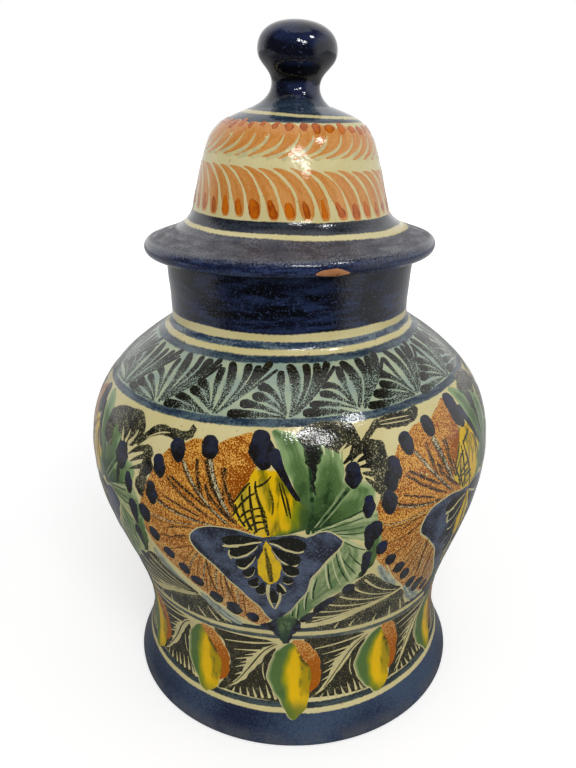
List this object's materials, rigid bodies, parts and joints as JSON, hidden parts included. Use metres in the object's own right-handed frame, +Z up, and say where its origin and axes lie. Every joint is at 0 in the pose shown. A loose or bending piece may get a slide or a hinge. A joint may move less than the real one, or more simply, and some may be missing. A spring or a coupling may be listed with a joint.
{
  "type": "lidded ceramic jar",
  "caption": "Glazed earthenware jar with a swelling belly on a flared foot, a collar neck and a loose domed lid with brim, locating ring and round knob, painted all over with leaves and fans.",
  "frame": {"origin": "on the table, under the middle of the jar", "axes": "+Z up along the jar's axis; the front of the painted belly faces -Y; the knob leans towards +X"},
  "size_m": [0.205, 0.205, 0.33],
  "materials": {
    "jar_glaze": "glossy cream tin glaze with painted ornament",
    "neck_glaze": "glossy dark cobalt glaze",
    "lid_glaze": "glossy cobalt and cream glaze with painted strokes",
    "ring_clay": "bare matt fired clay",
    "knob_glaze": "very glossy dark cobalt glaze"
  },
  "bodies": {
    "jar": {"jar_body": "jar_glaze", "jar_neck": "neck_glaze"},
    "lid": {"lid_dome": "lid_glaze", "lid_locating_ring": "ring_clay", "lid_knob": "knob_glaze"}
  },
  "joints": [
    {"name": "lid_lift", "type": "slide", "parent": "jar", "child": "lid", "axis": [0, 0, 1], "range_m": [0, 0.15]}
  ]
}
